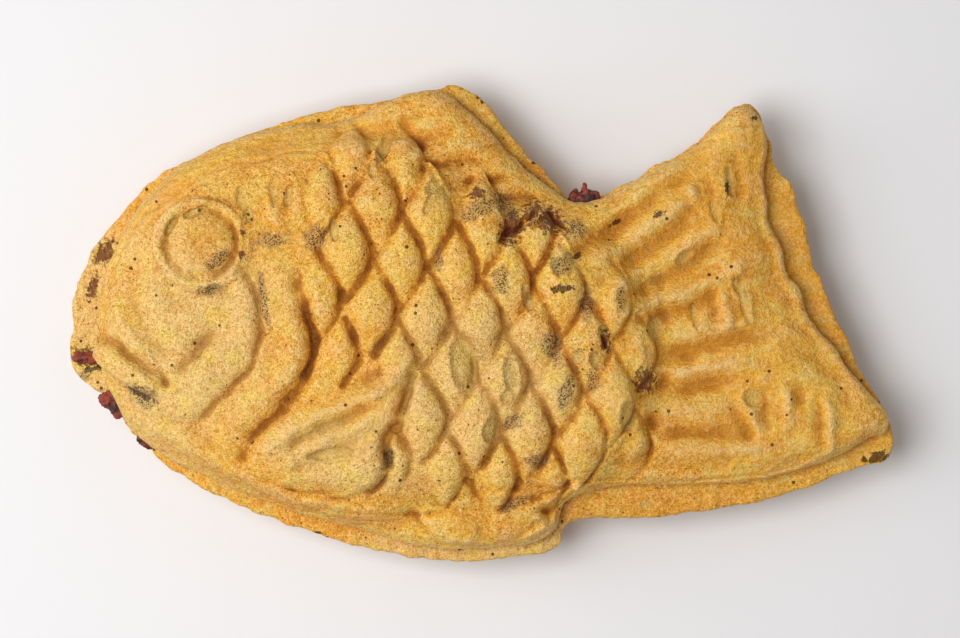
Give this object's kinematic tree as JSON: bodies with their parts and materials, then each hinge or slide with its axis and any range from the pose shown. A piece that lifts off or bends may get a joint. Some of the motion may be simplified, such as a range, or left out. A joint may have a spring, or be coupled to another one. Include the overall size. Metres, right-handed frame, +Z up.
{
  "type": "taiyaki",
  "caption": "Fish-shaped filled cake lying on its side: moulded batter shells with scales, eye, fins and tail, closed over red bean paste that shows at the seam.",
  "frame": {"origin": "centre of the bounding box, on the surface that the fish lies on", "axes": "+X from head to tail, +Y towards the back fin, +Z up, through the thickness of the fish"},
  "size_m": [0.15, 0.0867, 0.0294],
  "materials": {
    "upper_crust": "baked batter, golden, with pale scale tops and browned hollows",
    "lower_crust": "baked batter, golden brown, with a thin crisp rim",
    "bean_paste": "sweet red bean paste, dark red-brown and slightly glossy"
  },
  "bodies": {
    "root": {"upper_shell": "upper_crust", "lower_shell": "lower_crust", "bean_paste": "bean_paste"}
  },
  "joints": []
}
